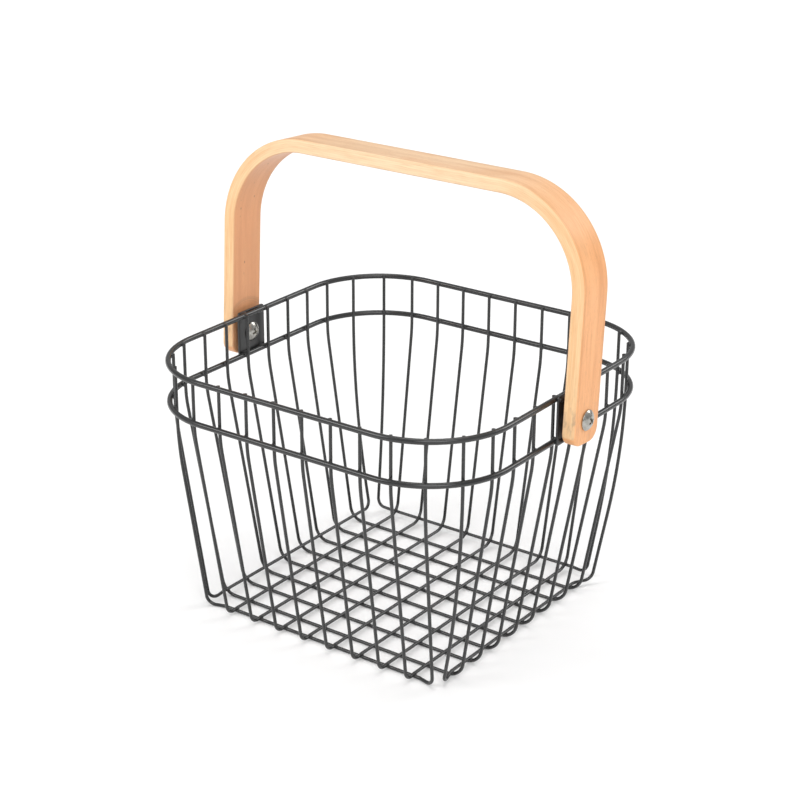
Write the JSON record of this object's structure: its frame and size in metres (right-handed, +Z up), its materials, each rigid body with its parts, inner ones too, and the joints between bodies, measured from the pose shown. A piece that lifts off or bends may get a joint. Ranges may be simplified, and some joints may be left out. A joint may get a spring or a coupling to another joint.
{
  "type": "wire produce basket",
  "caption": "Open wire basket with two rims, a woven-look grid base and sloping sides, and a bent wooden handle that swings on a pivot at each side.",
  "frame": {"origin": "on the surface the basket stands on, under the middle of the rims", "axes": "+X along the handle's pivot axis from left to right, +Y from front to back, +Z up"},
  "size_m": [0.2886, 0.2518, 0.3078],
  "materials": {
    "powder_coated_wire": "satin dark grey powder coat over steel wire",
    "powder_coated_plate": "satin black powder coat over steel plate",
    "bent_birch": "pale laminated bent birch, sanded and clear sealed",
    "zinc_washer": "zinc plated steel",
    "zinc_fastener": "bright zinc plated steel, slightly worn"
  },
  "bodies": {
    "basket": {"top_rim": "powder_coated_wire", "lower_rim": "powder_coated_wire", "left_right_wire_1": "powder_coated_wire", "left_right_wire_2": "powder_coated_wire", "left_right_wire_3": "powder_coated_wire", "left_right_wire_4": "powder_coated_wire", "left_right_wire_5": "powder_coated_wire", "left_right_wire_6": "powder_coated_wire", "left_right_wire_7": "powder_coated_wire", "left_right_wire_8": "powder_coated_wire", "left_right_wire_9": "powder_coated_wire", "left_right_wire_10": "powder_coated_wire", "front_back_wire_1": "powder_coated_wire", "front_back_wire_2": "powder_coated_wire", "front_back_wire_3": "powder_coated_wire", "front_back_wire_4": "powder_coated_wire", "front_back_wire_5": "powder_coated_wire", "front_back_wire_6": "powder_coated_wire", "front_back_wire_7": "powder_coated_wire", "front_back_wire_8": "powder_coated_wire", "front_back_wire_9": "powder_coated_wire", "front_back_wire_10": "powder_coated_wire", "left_bracket": "powder_coated_plate", "right_bracket": "powder_coated_plate", "left_spacer_washer": "zinc_washer", "right_spacer_washer": "zinc_washer", "left_pivot_barrel": "zinc_fastener", "right_pivot_barrel": "zinc_fastener", "left_pivot_screw": "zinc_fastener", "right_pivot_screw": "zinc_fastener"},
    "handle": {"handle": "bent_birch"}
  },
  "joints": [
    {"name": "handle_swing", "type": "hinge", "parent": "basket", "child": "handle", "pos_m": [0, -0.0017, 0.16415], "axis": [1, 0, 0], "range_deg": [-109, 120]}
  ]
}
